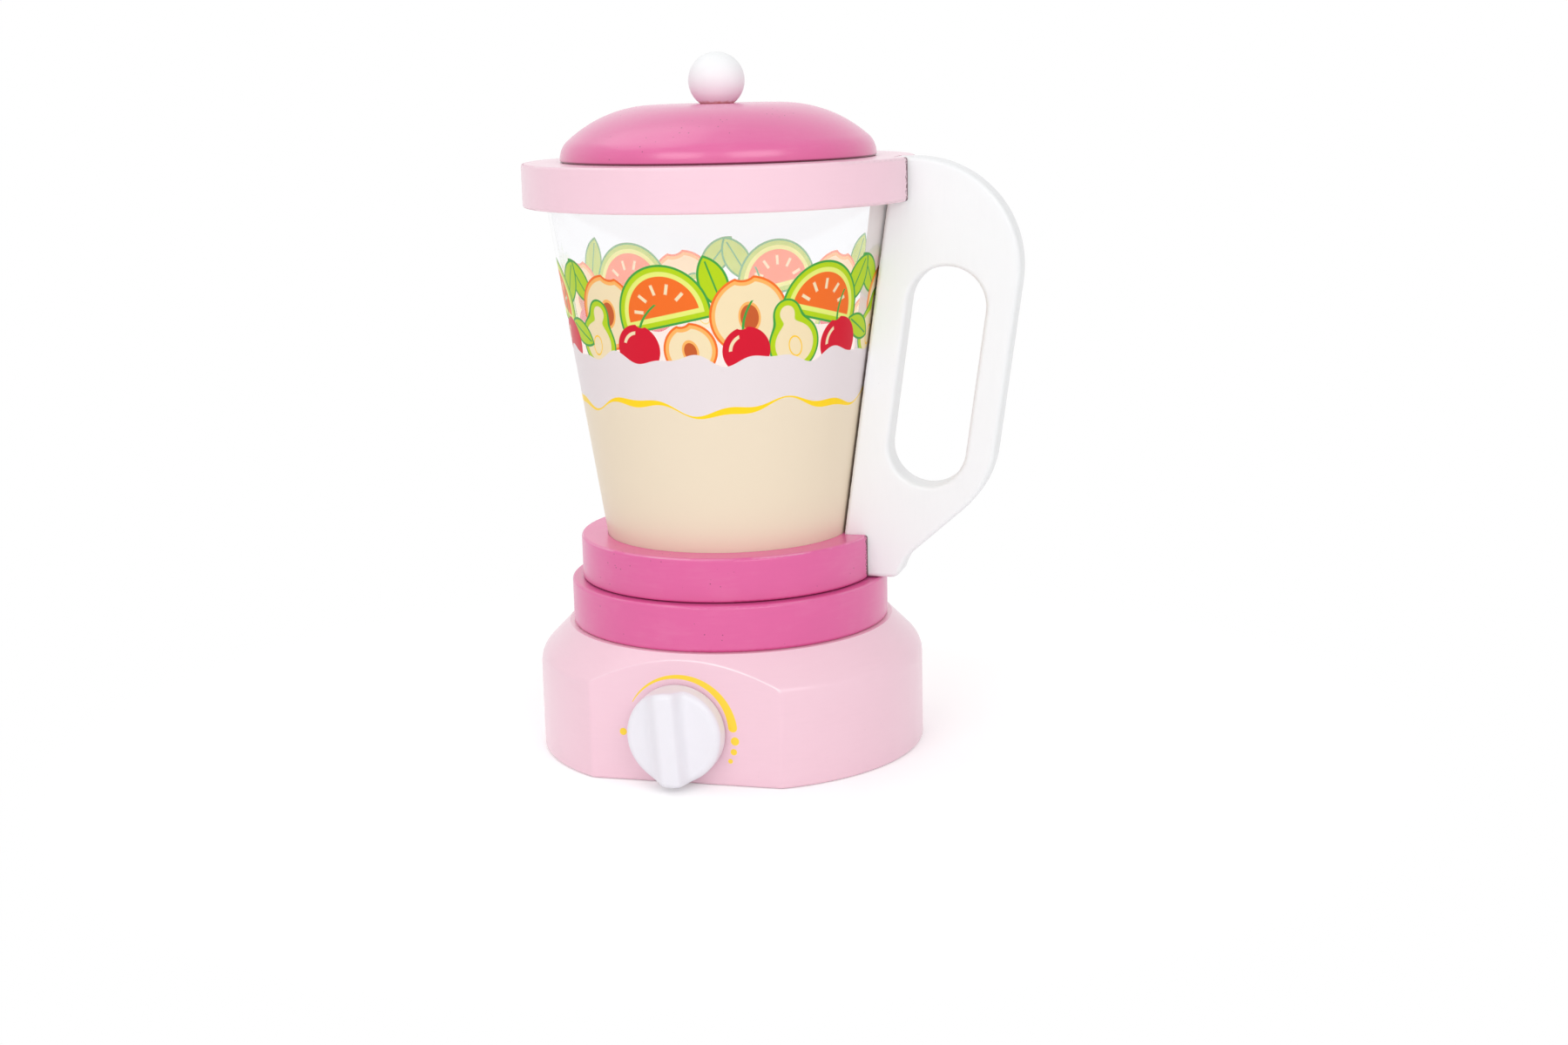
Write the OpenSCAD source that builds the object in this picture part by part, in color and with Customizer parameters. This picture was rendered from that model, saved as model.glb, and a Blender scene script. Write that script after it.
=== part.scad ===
// Toy jug blender of painted wood: a round base with a clicking knob, a jug with
// a clear wall and a side handle that lifts off the base, and a domed lid with a ball.
// The origin is on the axis of the turned pieces, at the underside of the base.
// +Z is up, the front flat faces -Y and the handle points to +X.

/* [Base block] */
// Diameter of the turned base block
base_d = 140; // [130:1:170]
// Height of the base block
base_h = 46; // [42:0.5:60]
// Height of the sloping shoulder at the top of the block
shoulder_h = 11; // [6:0.5:14]
// Rounding between the straight side and the shoulder
shoulder_r = 10; // [2:0.5:14]
// Ledge of the block that shows around the plate
block_ledge = 1.6; // [0.6:0.1:4]
// Depth of the front flat, measured in from the round side
flat_depth = 9; // [7:0.5:12]
// Wood between the front flat and the pocket behind it
front_wall = 20; // [16:0.5:23]
// Wood above the pocket
pocket_roof = 12; // [10:0.5:14]
// Width of the pocket's flat front, where the click wheel turns
pocket_w = 52; // [46:0.5:54]

/* [Bottom cover] */
// Wood between the cover and the front flat
cover_rim = 9; // [6:0.5:11]
// Width of the ledge that the cover is screwed to
cover_ledge = 12; // [9:0.5:13]
// Thickness of the cover
cover_t = 4.4; // [3:0.2:6]
// Height of the cover above the underside of the block
cover_recess = 0.6; // [0.3:0.1:1.5]
// Number of cover screws
cover_screw_n = 4; // [3:1:6]

/* [Plate and centring disc] */
// Width of the plate outside the jug ring
plate_rim = 3.9; // [1:0.1:6]
// Thickness of the plate
plate_h = 16.4; // [12:0.2:22]
// Height of the centring disc
spigot_h = 6.2; // [4:0.2:7]
// Number of plate screws
plate_screw_n = 3; // [2:1:5]
// Distance of the plate screws from the axis
plate_screw_x = 24; // [14:0.5:30]
// Diameter of the dowel in the middle of the base
centre_dowel_d = 12; // [8:0.5:16]
// Wood left beyond each end of that dowel
dowel_cap = 2.4; // [1:0.1:3]

/* [Knob] */
// Diameter of the knob
knob_d = 33.5; // [24:0.5:36]
// Thickness of the knob's disc
knob_h = 7.6; // [5:0.2:9]
// Rounding of the knob's front edge
knob_edge_r = 2.4; // [0.6:0.2:3]
// Width of the grip bar
bar_w = 9.6; // [6:0.2:11]
// Height of the grip bar above the disc
bar_h = 5.6; // [3:0.2:8]
// Rounding along the top of the grip bar
bar_edge_r = 2; // [0.5:0.1:2.8]
// Hollow where the grip bar runs out into the disc
bar_foot_r = 3.5; // [1:0.1:4.5]
// Distance of the grip bar's ends inside the edge of the disc
bar_inset = 0.8; // [0.4:0.1:2]
// Sideways place of the grip bar on the disc
bar_x = -1.2; // [-2:0.1:2]
// Lean of the grip bar from upright
knob_lean = 4; // [-30:1:30]
// Sideways place of the knob on the front flat
knob_x = -2; // [-4:0.5:4]
// Height of the knob's axis above the underside
knob_z = 19; // [17:0.5:21]

/* [Click work] */
// Diameter of the knob's axle
axle_d = 8; // [6:0.2:9]
// Depth of the axle in the knob
axle_in_knob = 4.2; // [3:0.1:4.8]
// Depth of the flat on the axle's inner end
axle_flat = 1.2; // [0.5:0.1:2]
// Outer diameter of the bush
bush_d = 12; // [10.4:0.2:16]
// Diameter of the knob's washer
knob_washer_d = 22; // [14:0.5:23]
// Thickness of both washers
washer_t = 0.8; // [0.5:0.1:1.5]
// Diameter of the washer behind the click wheel
axle_washer_d = 13; // [10:0.5:16]
// Diameter of the click wheel
wheel_d = 18; // [15:0.5:20]
// Thickness of the click wheel
wheel_t = 6; // [4:0.2:8]
// Number of clicks in a turn
click_n = 10; // [6:1:12]
// Radius of the click wheel's notches
notch_r = 1.8; // [1.2:0.1:2]
// Distance of the notches' centres outside the wheel
notch_out = 0.4; // [0:0.1:0.8]
// Thickness of the leaf spring
spring_t = 0.6; // [0.4:0.05:0.8]
// Length of the spring's screwed foot
spring_foot = 13; // [11:0.5:15]
// Sideways reach of the spring's sloping arm
spring_arm = 8; // [6:0.5:10]
// Distance of the spring's screws from the ends of its foot
spring_screw_edge = 3; // [2.6:0.1:4]

/* [Jug] */
// Outer diameter of the clear wall at the top of the ring
wall_low_d = 88; // [80:0.5:96]
// Outer diameter of the clear wall at the underside of the collar
wall_top_d = 122.4; // [112:0.1:132]
// Height of the clear wall that shows
wall_h = 117.8; // [100:0.1:140]
// Thickness of the clear wall
wall_t = 1.2; // [0.8:0.1:2]
// Width of the ring outside the clear wall
ring_rim = 9.6; // [7:0.1:13]
// Height of the ring
ring_h = 15.8; // [13:0.2:20]
// Height of the ledge inside the ring
ring_ledge_h = 7.6; // [7.2:0.2:9]
// Part of the ledge that carries the jug's floor
floor_ledge = 3; // [2:0.1:5]
// Thickness of the jug's floor
floor_t = 3; // [2:0.2:5]
// Width of the collar outside the clear wall
collar_rim = 8.3; // [6:0.1:12]
// Width of the collar's lip over the clear wall
collar_lip = 8.2; // [5:0.1:12]
// Height of the collar
collar_h = 15.2; // [12:0.2:20]
// Depth of the clear wall in the collar
collar_seat = 7.4; // [4:0.2:8]
// Rounding of the turned edges
edge_r = 1.1; // [0.3:0.1:2]

/* [Handle] */
// Thickness of the handle's board
handle_t = 12.6; // [9:0.2:16]
// Width of the handle, level, from its inner to its outer edge
handle_w = 49.6; // [44:0.1:60]
// Gap between the clear wall and the handle
handle_gap = 0.9; // [0.6:0.1:2]
// Rounding of the handle's top
crown_r = 37.7; // [15:0.1:42]
// Height of the handle's lower bend above the ring
heel_h = 18.2; // [14:0.2:26]
// Rounding of the lower bend
heel_r = 35; // [10:0.5:40]
// Reach of the narrow neck outside the ring
neck_reach = 13.4; // [11:0.1:16]
// Height of the neck above the ring's underside
neck_h = 7.9; // [6:0.1:10]
// Rounding in the neck
neck_r = 16; // [4:0.5:20]
// Reach of the toe outside the ring
toe_reach = 10.4; // [6:0.1:10.5]
// Rounding of the toe
toe_r = 4; // [1:0.2:5]
// Gap under the toe
toe_gap = 0.4; // [0.3:0.1:1]
// Width of the finger hole
hole_w = 27.5; // [20:0.5:30]
// Distance from the inner edge to the middle of the finger hole
hole_mid = 25.4; // [24:0.2:29]
// Distance from the handle's top to the upper centre of the finger hole
hole_drop = 51.3; // [44:0.1:60]
// Height between the two centres of the finger hole
hole_len = 49.8; // [36:0.2:54]

/* [Lid] */
// Width of the lid's rim over the collar's lip
lid_overlap = 2.8; // [2:0.1:8]
// Height of the dome
lid_h = 19; // [14:0.2:26]
// Height of the steep edge of the dome, before rounding
lid_edge_h = 6; // [4:0.2:8]
// Slope of the dome's side
lid_slope = 40; // [32:1:48]
// Rounding of the dome's edge
lid_edge_r = 9; // [3:0.2:10]
// Rounding between the dome's side and its flat top
lid_crown_r = 44; // [15:0.5:50]
// Rounding of the dome's lower edge
lid_foot_r = 1.5; // [0.4:0.1:1.6]
// Height of the plug under the dome
plug_h = 6; // [3:0.2:8]
// Gap around the plug in the mouth
plug_gap = 0.5; // [0.3:0.05:1]
// Diameter of the ball
ball_d = 19.8; // [16:0.2:26]
// Height of the ball's centre above the dome
ball_up = 8; // [6.4:0.1:8.8]
// Diameter of the lid's dowel
lid_dowel_d = 8; // [5:0.2:9]
// Depth of the dowel in the ball
dowel_in_ball = 9; // [6:0.2:11]
// Depth of the dowel in the plug
dowel_in_plug = 4; // [2:0.2:5]

/* [Screws] */
// Shank diameter of the wood screws
screw_d = 3; // [2.4:0.1:3.4]
// Head diameter of the wood screws
screw_head_d = 6; // [5:0.1:6.6]
// Depth of the wood screws' heads below the surface
screw_sink = 0.4; // [0.1:0.1:0.8]
// Length of the cover screws
cover_screw_l = 14; // [10:0.5:20]
// Length of the plate screws
plate_screw_l = 22; // [18:0.5:25]
// Length of the handle screws
handle_screw_l = 20; // [16:0.5:24]
// Shank diameter of the small screws
small_screw_d = 2.4; // [2:0.1:2.8]
// Head diameter of the small screws
small_head_d = 4.6; // [4:0.1:5.4]
// Head height of the small screws
small_head_h = 1.6; // [1:0.1:2]
// Length of the spring screws, under the head
spring_screw_l = 7; // [5:0.5:8]
// Length of the axle screw, under the head
axle_screw_l = 11; // [8:0.5:14]

/* [Clearances] */
// Radial running clearance of the axle
run_gap = 0.05; // [0.02:0.01:0.1]
// Radial gap of glued and screwed pieces in their holes
snug = 0.02; // [0.01:0.01:0.05]
// Radial gap of the clear wall in ring and collar
wall_gap = 0.15; // [0.05:0.05:0.3]
// Gap around the handle in its slots
slot_gap = 0.2; // [0.1:0.05:0.4]
// Radial gap of the centring disc in the ring
spigot_gap = 0.5; // [0.3:0.05:1]
// Radial gap of the cover in its recess
cover_gap = 0.3; // [0.1:0.05:0.6]
// Gap between the click wheel and the pocket's front
wheel_gap = 0.5; // [0.3:0.1:1]
// Gap between the spring's nose and a notch
nose_gap = 0.25; // [0.15:0.05:0.4]

/* [Hidden] */
$fn = 96;

pale_pink = "#F6CFDF";
deep_pink = "#E26BA5";
paint_white = "#F7F6F6";
bare_wood = "#D9BC93";
hardboard = "#A9825B";
steel = "#B9BCC0";
nylon = "#E9E7E0";
clear = [0.9, 0.95, 0.97, 0.35];

// How far a cut runs past the face that it opens
over = 1;
// Most of an edge that the arcs at its two ends may take
arc_share = 0.98;

// Levels from the floor up
plate_z = base_h;
ring_z = plate_z + plate_h;
ledge_z = ring_z + ring_ledge_h;
ring_top = ring_z + ring_h;
collar_z = ring_top + wall_h;
lip_z = collar_z + collar_seat;
collar_top = collar_z + collar_h;
lid_top = collar_top + lid_h;

// Radii of the turned pieces, from the clear wall outwards
wall_lean = (wall_top_d - wall_low_d) / 2 / wall_h;
function wall_r(z) = wall_low_d / 2 + (z - ring_top) * wall_lean;
ring_r = wall_low_d / 2 + ring_rim;
collar_r = wall_top_d / 2 + collar_rim;
mouth_r = wall_top_d / 2 - collar_lip;
lid_r = mouth_r + lid_overlap;
plate_r = ring_r + plate_rim;
floor_r = wall_r(ledge_z) - wall_t - wall_gap;
ring_bore_r = floor_r - floor_ledge;
spigot_r = ring_bore_r - spigot_gap;

// Base block: round body, front flat, pocket and cover
base_r = base_d / 2;
block_top_r = plate_r + block_ledge;
flat_y = base_r - flat_depth;
pocket_y = flat_y - front_wall;
pocket_z = base_h - pocket_roof;
cover_hole_r = flat_y - cover_rim;
cover_z = cover_recess + cover_t;
pocket_r = cover_hole_r - cover_ledge;
cover_screw_x = cover_hole_r - cover_ledge / 2;
dowel_in_block = pocket_roof - dowel_cap;
dowel_in_spigot = spigot_h - dowel_cap;

// Knob work, measured from the axis of the base towards the front
knob_back = flat_y + washer_t;
knob_face = knob_back + knob_h;
wheel_front = pocket_y - wheel_gap;
wheel_back = wheel_front - wheel_t;
axle_r = axle_d / 2;
wheel_r = wheel_d / 2;
notch_y = wheel_r + notch_out;
roof_y = pocket_z - knob_z;
nose_r = notch_r - nose_gap - spring_t / 2;
// Inner edge of the handle, parallel to the clear wall
function handle_x(z) = wall_r(z) + handle_gap;
toe_z = ring_z + toe_gap;
heel_z = ring_top + heel_h;
hole_z = [collar_top - hole_drop - hole_len, collar_top - hole_drop];
handle_screw_low = [ring_bore_r + screw_sink, ring_z + ring_ledge_h / 2];
handle_screw_high = [mouth_r + screw_sink, (lip_z + collar_top) / 2];

// Corners [x, y, radius] with true arcs. A radius gives way where an edge is too short for it.
function near(p, i) = p[(i + len(p)) % len(p)];
function spot(p, i) = [near(p, i).x, near(p, i).y];
function radius(p, i) = len(near(p, i)) > 2 ? near(p, i).z : 0;
function ray(p, i, d) = let (v = spot(p, i + d) - spot(p, i)) v / norm(v);
function half_angle(p, i) = acos(ray(p, i, 1) * ray(p, i, -1)) / 2;
function full_cut(p, i) = radius(p, i) / tan(half_angle(p, i));
function edge_share(p, i) =
    let (edge = norm(spot(p, i + 1) - spot(p, i)), wanted = full_cut(p, i) + full_cut(p, i + 1))
    wanted > arc_share * edge ? arc_share * edge / wanted : 1;
function cut(p, i) = full_cut(p, i) * min(edge_share(p, i), edge_share(p, i - 1));
function start_of_arc(p, i) = spot(p, i) + ray(p, i, -1) * cut(p, i);
function end_of_arc(p, i) = spot(p, i) + ray(p, i, 1) * cut(p, i);
function arc_r(p, i) = cut(p, i) * tan(half_angle(p, i));
function arc_centre(p, i) =
    let (v = ray(p, i, 1) + ray(p, i, -1))
    spot(p, i) + v / norm(v) * arc_r(p, i) / sin(half_angle(p, i));
function is_outer(p, i) = cross(ray(p, i, 1), ray(p, i, -1)) > 0;

function inside_chord(p, i) =
    let (middle = (start_of_arc(p, i) + end_of_arc(p, i)) / 2)
    middle + (arc_centre(p, i) - middle) / 20;

// What an arc adds to an outer corner, or takes from an inner one
module arc_piece(p, i) {
    intersection() {
        translate(arc_centre(p, i)) circle(arc_r(p, i));
        polygon([start_of_arc(p, i), spot(p, i), end_of_arc(p, i), inside_chord(p, i)]);
    }
}

module outline(p) {
    rounded = [for (i = [0 : len(p) - 1]) if (radius(p, i) > 0) i];
    difference() {
        union() {
            polygon([for (i = [0 : len(p) - 1])
                each radius(p, i) > 0 ? [start_of_arc(p, i), end_of_arc(p, i)] : [spot(p, i)]]);
            for (i = rounded) if (is_outer(p, i)) arc_piece(p, i);
        }
        for (i = rounded) if (!is_outer(p, i)) arc_piece(p, i);
    }
}

// Turned disc from z0 to z1 with rounded edges
module disc(r, z0, z1, e) {
    rotate_extrude() outline([[0, z0], [r, z0, e], [r, z1, e], [0, z1]]);
}

module ring_of(n, r, turn = 0) {
    for (i = [0 : n - 1]) rotate([0, 0, turn + i * 360 / n]) translate([r, 0, 0]) children();
}

// Half section of a countersunk screw along +Z with its head at the origin
function screw_section(l, grow, open) =
    let (shank = screw_d / 2 + grow, head = screw_head_d / 2 + grow)
    concat(
        open > 0 ? [[0, -open], [head, -open]] : [[0, 0]],
        [[head, 0], [shank, head - shank], [shank, l - screw_d], [0, l + grow]]
    );

module wood_screw(l) {
    difference() {
        rotate_extrude() polygon(screw_section(l, 0, 0));
        cross_slot(screw_head_d);
    }
}

// Hole for such a screw, open above its head
module screw_hole(l) {
    rotate_extrude() polygon(screw_section(l, snug, over + screw_sink));
}

// Small screw along +Z with its round head below the origin
module small_screw(l) {
    difference() {
        union() {
            translate([0, 0, -small_head_h]) cylinder(d = small_head_d, h = small_head_h);
            cylinder(d = small_screw_d, h = l);
        }
        translate([0, 0, -small_head_h]) cross_slot(small_head_d);
    }
}

module cross_slot(head_d) {
    slot_w = head_d / 7;
    slot_l = head_d * 0.6;
    for (a = [0, 90]) rotate([0, 0, a])
        translate([-slot_l / 2, -slot_w / 2, -over]) cube([slot_l, slot_w, over + slot_w]);
}

// Puts children on the knob's axis: +Z points out of the front, +Y up
module on_knob_axis(z = 0) {
    translate([knob_x, 0, knob_z]) rotate([90, 0, 0]) translate([0, 0, z]) children();
}

module cover_screw_places() {
    ring_of(cover_screw_n, cover_screw_x, 180 / cover_screw_n)
        translate([0, 0, cover_recess + screw_sink]) children();
}

module plate_screw_places() {
    ring_of(plate_screw_n, plate_screw_x, 90) translate([0, 0, pocket_z + screw_sink]) children();
}

module spring_screw_places() {
    for (x = [spring_screw_edge, spring_foot - spring_screw_edge])
        translate([knob_x + spring_arm + x, -(wheel_front + wheel_back) / 2, pocket_z - spring_t]) children();
}

module handle_screw_places() {
    for (p = [handle_screw_low, handle_screw_high])
        translate([p.x, 0, p.y]) rotate([0, 90, 0]) children();
}

// Space cut into ring and collar for the handle's board
module handle_slot(z0, z1, reach) {
    w = handle_t + 2 * slot_gap;
    rotate([90, 0, 0]) translate([0, 0, -w / 2]) linear_extrude(w)
        polygon([
            [handle_x(z0 - over) - slot_gap, z0 - over], [reach, z0 - over],
            [reach, z1 + over], [handle_x(z1 + over) - slot_gap, z1 + over]
        ]);
}

module base_block() {
    color(pale_pink) difference() {
        rotate_extrude() outline([
            [0, 0], [base_r, 0, edge_r], [base_r, base_h - shoulder_h, shoulder_r],
            [block_top_r, base_h], [0, base_h]
        ]);
        translate([-base_r, -base_r - flat_y, -over]) cube([base_d, base_r, base_h + 2 * over]);
        translate([0, 0, -over]) cylinder(r = cover_hole_r, h = cover_z + over);
        translate([0, 0, -over]) cylinder(r = pocket_r, h = pocket_z + over);
        translate([knob_x - pocket_w / 2, -pocket_y, cover_z - over])
            cube([pocket_w, pocket_y, pocket_z - cover_z + over]);
        on_knob_axis(pocket_y - over) cylinder(r = bush_d / 2 + snug, h = front_wall + 2 * over);
        translate([0, 0, base_h - dowel_in_block])
            cylinder(r = centre_dowel_d / 2 + snug, h = dowel_in_block + over);
        cover_screw_places() screw_hole(cover_screw_l);
        plate_screw_places() screw_hole(plate_screw_l);
        spring_screw_places() cylinder(r = small_screw_d / 2 + snug, h = spring_t + spring_screw_l);
    }
}

module bottom_cover() {
    color(hardboard) difference() {
        translate([0, 0, cover_recess]) cylinder(r = cover_hole_r - cover_gap, h = cover_t);
        cover_screw_places() screw_hole(cover_screw_l);
    }
}

module cover_screws() {
    color(steel) cover_screw_places() wood_screw(cover_screw_l);
}

module base_plate() {
    color(deep_pink) difference() {
        disc(plate_r, plate_z, ring_z, edge_r);
        translate([0, 0, plate_z - over]) cylinder(r = centre_dowel_d / 2 + snug, h = plate_h + 2 * over);
        plate_screw_places() screw_hole(plate_screw_l);
    }
}

module centring_disc() {
    color(bare_wood) difference() {
        disc(spigot_r, ring_z, ring_z + spigot_h, edge_r);
        translate([0, 0, ring_z - over])
            cylinder(r = centre_dowel_d / 2 + snug, h = dowel_in_spigot + over);
    }
}

module centre_dowel() {
    color(bare_wood) translate([0, 0, base_h - dowel_in_block])
        cylinder(d = centre_dowel_d, h = dowel_in_block + plate_h + dowel_in_spigot);
}

module plate_screws() {
    color(steel) plate_screw_places() wood_screw(plate_screw_l);
}

module axle_bush() {
    color(nylon) on_knob_axis(pocket_y) difference() {
        cylinder(d = bush_d, h = front_wall);
        translate([0, 0, -over]) cylinder(r = axle_r + run_gap, h = front_wall + 2 * over);
    }
}

// Middle line of the leaf spring from its foot over the arm and round the nose to its tip
spring_line = concat(
    [[spring_arm + spring_foot, roof_y - spring_t / 2], [spring_arm, roof_y - spring_t / 2]],
    [for (a = [0 : 15 : 180]) [nose_r * cos(a), notch_y - nose_r * sin(a)]],
    [[-2 * nose_r, notch_y + nose_r]]
);

// Point i of a line, moved sideways by d with mitred corners
function beside(p, i, d) =
    let (
        a = i > 0 ? (p[i] - p[i - 1]) / norm(p[i] - p[i - 1]) : undef,
        b = i < len(p) - 1 ? (p[i + 1] - p[i]) / norm(p[i + 1] - p[i]) : undef,
        s = is_undef(a) ? b : is_undef(b) ? a : (a + b) / norm(a + b),
        reach = d / (is_undef(a) ? 1 : s * a)
    )
    p[i] + reach * [-s.y, s.x];

module click_spring() {
    last = len(spring_line) - 1;
    color(steel) difference() {
        on_knob_axis(wheel_back) linear_extrude(wheel_t) polygon(concat(
            [for (i = [0 : last]) beside(spring_line, i, spring_t / 2)],
            [for (i = [last : -1 : 0]) beside(spring_line, i, -spring_t / 2)]
        ));
        spring_screw_places() translate([0, 0, -over])
            cylinder(r = small_screw_d / 2 + snug, h = spring_t + 2 * over);
    }
}

module spring_screws() {
    color(steel) spring_screw_places() small_screw(spring_screw_l);
}

// Across the grip bar: rounded top edges, and hollows where it runs out into the disc
module bar_section() {
    w = bar_w / 2;
    outline([
        [-w - bar_foot_r - bar_edge_r, -over], [w + bar_foot_r + bar_edge_r, -over],
        [w + bar_foot_r + bar_edge_r, 0], [w, 0, bar_foot_r],
        [w, bar_h, bar_edge_r], [-w, bar_h, bar_edge_r], [-w, 0, bar_foot_r],
        [-w - bar_foot_r - bar_edge_r, 0]
    ]);
}

module knob() {
    color(paint_white) difference() {
        union() {
            on_knob_axis() rotate_extrude() outline([
                [0, knob_back], [knob_d / 2, knob_back],
                [knob_d / 2, knob_face, knob_edge_r], [0, knob_face]
            ]);
            on_knob_axis() rotate([0, 0, knob_lean]) intersection() {
                translate([bar_x, -knob_d / 2, knob_face])
                    rotate([-90, 0, 0]) mirror([0, 1, 0]) linear_extrude(knob_d) bar_section();
                cylinder(r = knob_d / 2 - bar_inset, h = knob_face + bar_h + over);
            }
        }
        on_knob_axis(knob_back - over) cylinder(r = axle_r + snug, h = axle_in_knob + over);
    }
}

module knob_washer() {
    color(hardboard) on_knob_axis(flat_y) difference() {
        cylinder(d = knob_washer_d, h = washer_t);
        translate([0, 0, -over]) cylinder(r = axle_r + snug, h = washer_t + 2 * over);
    }
}

module knob_axle() {
    l = knob_back + axle_in_knob - wheel_back;
    color(nylon) on_knob_axis(wheel_back) difference() {
        cylinder(r = axle_r, h = l);
        translate([axle_r - axle_flat, -axle_r, -over]) cube([axle_d, axle_d, wheel_t + over]);
        translate([0, 0, -over]) cylinder(r = small_screw_d / 2 + snug, h = axle_screw_l + over);
    }
}

module click_wheel() {
    color(nylon) on_knob_axis(wheel_back) difference() {
        cylinder(r = wheel_r, h = wheel_t);
        difference() {
            translate([0, 0, -over]) cylinder(r = axle_r + snug, h = wheel_t + 2 * over);
            translate([axle_r - axle_flat + snug, -axle_d, -2 * over])
                cube([axle_d, 2 * axle_d, wheel_t + 4 * over]);
        }
        ring_of(click_n, notch_y, 90) translate([0, 0, -over]) cylinder(r = notch_r, h = wheel_t + 2 * over);
    }
}

module axle_washer() {
    color(steel) on_knob_axis(wheel_back - washer_t) difference() {
        cylinder(d = axle_washer_d, h = washer_t);
        translate([0, 0, -over]) cylinder(r = small_screw_d / 2 + snug, h = washer_t + 2 * over);
    }
}

module axle_screw() {
    color(steel) on_knob_axis(wheel_back - washer_t) small_screw(axle_screw_l);
}

module jug_ring() {
    color(deep_pink) difference() {
        rotate_extrude() outline([
            [ring_bore_r, ring_z], [ring_r, ring_z, edge_r], [ring_r, ring_top, edge_r],
            [wall_r(ring_top) + wall_gap, ring_top], [wall_r(ledge_z) + wall_gap, ledge_z],
            [ring_bore_r, ledge_z]
        ]);
        handle_slot(ring_z, ring_top, 2 * ring_r);
        handle_screw_places() screw_hole(handle_screw_l);
    }
}

module jug_floor() {
    color(bare_wood) disc(floor_r, ledge_z, ledge_z + floor_t, edge_r);
}

module jug_wall() {
    color(clear) rotate_extrude() polygon([
        [wall_r(ledge_z) - wall_t, ledge_z], [wall_r(ledge_z), ledge_z],
        [wall_r(lip_z), lip_z], [wall_r(lip_z) - wall_t, lip_z]
    ]);
}

module jug_collar() {
    color(pale_pink) difference() {
        rotate_extrude() outline([
            [wall_r(collar_z) + wall_gap, collar_z],
            [collar_r, collar_z, edge_r], [collar_r, collar_top, edge_r],
            [mouth_r, collar_top, edge_r], [mouth_r, lip_z], [wall_r(lip_z) + wall_gap, lip_z]
        ]);
        handle_slot(collar_z, collar_top, 2 * collar_r);
        handle_screw_places() screw_hole(handle_screw_l);
    }
}

module finger_hole() {
    ends = [for (z = hole_z) [handle_x(z) + hole_mid, z]];
    along = (ends[1] - ends[0]) / norm(ends[1] - ends[0]);
    across = [-along.y, along.x] * hole_w / 2;
    for (p = ends) translate(p) circle(d = hole_w);
    polygon([ends[0] - across, ends[1] - across, ends[1] + across, ends[0] + across]);
}

module handle() {
    color(paint_white) difference() {
        rotate([90, 0, 0]) translate([0, 0, -handle_t / 2]) linear_extrude(handle_t) difference() {
            outline([
                [handle_x(toe_z), toe_z], [ring_r + toe_reach, toe_z, toe_r],
                [ring_r + neck_reach, ring_z + neck_h, neck_r],
                [handle_x(heel_z) + handle_w, heel_z, heel_r],
                [handle_x(collar_top) + handle_w, collar_top, crown_r],
                [handle_x(collar_top), collar_top]
            ]);
            finger_hole();
        }
        handle_screw_places() screw_hole(handle_screw_l);
    }
}

module handle_screws() {
    color(steel) handle_screw_places() wood_screw(handle_screw_l);
}

module lid_dome() {
    color(deep_pink) difference() {
        translate([0, 0, collar_top]) rotate_extrude() outline([
            [0, 0], [lid_r, 0, lid_foot_r], [lid_r, lid_edge_h, lid_edge_r],
            [lid_r - (lid_h - lid_edge_h) / tan(lid_slope), lid_h, lid_crown_r], [0, lid_h]
        ]);
        translate([0, 0, collar_top - over]) cylinder(r = lid_dowel_d / 2 + snug, h = lid_h + 2 * over);
    }
}

module lid_plug() {
    color(bare_wood) difference() {
        disc(mouth_r - plug_gap, collar_top - plug_h, collar_top, edge_r);
        translate([0, 0, collar_top - dowel_in_plug])
            cylinder(r = lid_dowel_d / 2 + snug, h = dowel_in_plug + over);
    }
}

module lid_ball() {
    color(paint_white) difference() {
        translate([0, 0, lid_top + ball_up]) sphere(d = ball_d);
        translate([-ball_d, -ball_d, lid_top - ball_d]) cube([2 * ball_d, 2 * ball_d, ball_d]);
        translate([0, 0, lid_top - over]) cylinder(r = lid_dowel_d / 2 + snug, h = dowel_in_ball + over);
    }
}

module lid_dowel() {
    color(bare_wood) translate([0, 0, collar_top - dowel_in_plug])
        cylinder(d = lid_dowel_d, h = dowel_in_plug + lid_h + dowel_in_ball);
}

base_block();
bottom_cover();
cover_screws();
base_plate();
centring_disc();
centre_dowel();
plate_screws();
axle_bush();
click_spring();
spring_screws();
knob();
knob_washer();
knob_axle();
click_wheel();
axle_washer();
axle_screw();
jug_ring();
jug_floor();
jug_wall();
jug_collar();
handle();
handle_screws();
lid_dome();
lid_plug();
lid_ball();
lid_dowel();
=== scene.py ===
import math
import bpy
import numpy as np
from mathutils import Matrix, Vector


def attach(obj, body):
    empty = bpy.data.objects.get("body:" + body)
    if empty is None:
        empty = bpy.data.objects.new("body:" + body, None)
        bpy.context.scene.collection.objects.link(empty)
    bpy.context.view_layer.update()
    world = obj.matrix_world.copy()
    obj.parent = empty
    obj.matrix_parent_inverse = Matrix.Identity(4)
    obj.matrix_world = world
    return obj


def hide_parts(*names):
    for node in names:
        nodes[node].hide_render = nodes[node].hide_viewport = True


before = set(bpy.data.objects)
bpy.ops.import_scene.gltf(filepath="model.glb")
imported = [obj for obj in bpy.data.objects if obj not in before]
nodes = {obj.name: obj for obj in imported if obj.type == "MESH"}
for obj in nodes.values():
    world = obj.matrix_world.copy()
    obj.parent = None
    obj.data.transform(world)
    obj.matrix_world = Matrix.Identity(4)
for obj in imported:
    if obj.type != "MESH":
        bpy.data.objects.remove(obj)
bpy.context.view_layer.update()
scene = bpy.context.scene
mm = 0.001
tiny = 1e-3  # keeps a division finite
print("frame:", len(nodes), "nodes")


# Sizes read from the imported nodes, in millimetres

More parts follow.
